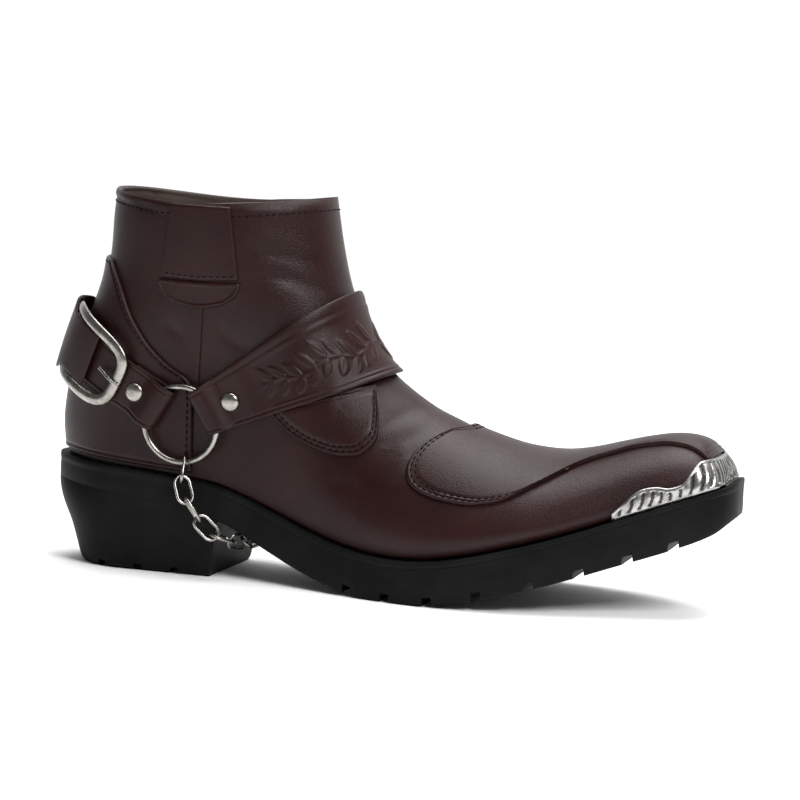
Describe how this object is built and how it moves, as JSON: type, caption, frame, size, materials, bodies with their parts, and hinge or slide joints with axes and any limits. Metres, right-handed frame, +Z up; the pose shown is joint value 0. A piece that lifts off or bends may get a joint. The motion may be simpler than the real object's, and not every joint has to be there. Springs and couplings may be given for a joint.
{
  "type": "biker boot",
  "caption": "Right biker ankle boot: dark leather upper on a lugged rubber sole and block heel, with a ring harness, rear buckle, arch chain, inner zip and metal toe plate.",
  "frame": {"origin": "on the floor at the middle of the heel's tread", "axes": "+X towards the toe, +Y towards the wearer's inner side, +Z up"},
  "size_m": [0.323, 0.1032, 0.1755],
  "materials": {
    "leather": "satin",
    "rubber": "matte",
    "insole": "matte",
    "nickel": "satin",
    "zip_metal": "satin",
    "zip_tape": "matte"
  },
  "bodies": {
    "boot": {"buckle_frame": "nickel", "buckle_loop": "leather", "buckle_prong": "nickel", "chain_link_00": "nickel", "chain_link_01": "nickel", "chain_link_02": "nickel", "chain_link_03": "nickel", "chain_link_04": "nickel", "chain_link_05": "nickel", "chain_link_06": "nickel", "chain_link_07": "nickel", "chain_link_08": "nickel", "chain_link_09": "nickel", "chain_link_10": "nickel", "chain_link_11": "nickel", "chain_link_12": "nickel", "chain_link_13": "nickel", "chain_link_14": "nickel", "chain_link_15": "nickel", "counter": "leather", "heel": "rubber", "insole": "insole", "instep_strap": "leather", "outsole": "rubber", "pad_inner": "leather", "pad_outer": "leather", "pull_tab": "leather", "rear_strap": "leather", "ring_inner": "nickel", "ring_outer": "nickel", "rivet_instep_inner": "nickel", "rivet_instep_outer": "nickel", "rivet_rear_inner": "nickel", "rivet_rear_outer": "nickel", "snap_cap": "nickel", "snap_flap": "leather", "tab_base": "leather", "toe_plate": "nickel", "upper": "leather", "vamp_panel": "leather", "zip_slider": "zip_metal", "zip_tab": "leather", "zip_teeth": "zip_tape"},
    "zip_pull": {"zip_pull": "zip_metal"}
  },
  "joints": [
    {"name": "zip_pull_hinge", "type": "hinge", "parent": "boot", "child": "zip_pull", "pos_m": [0.00491, 0.04074, 0.13138], "axis": [0.9905, 0.1372, 0], "range_deg": [0, 120]}
  ]
}
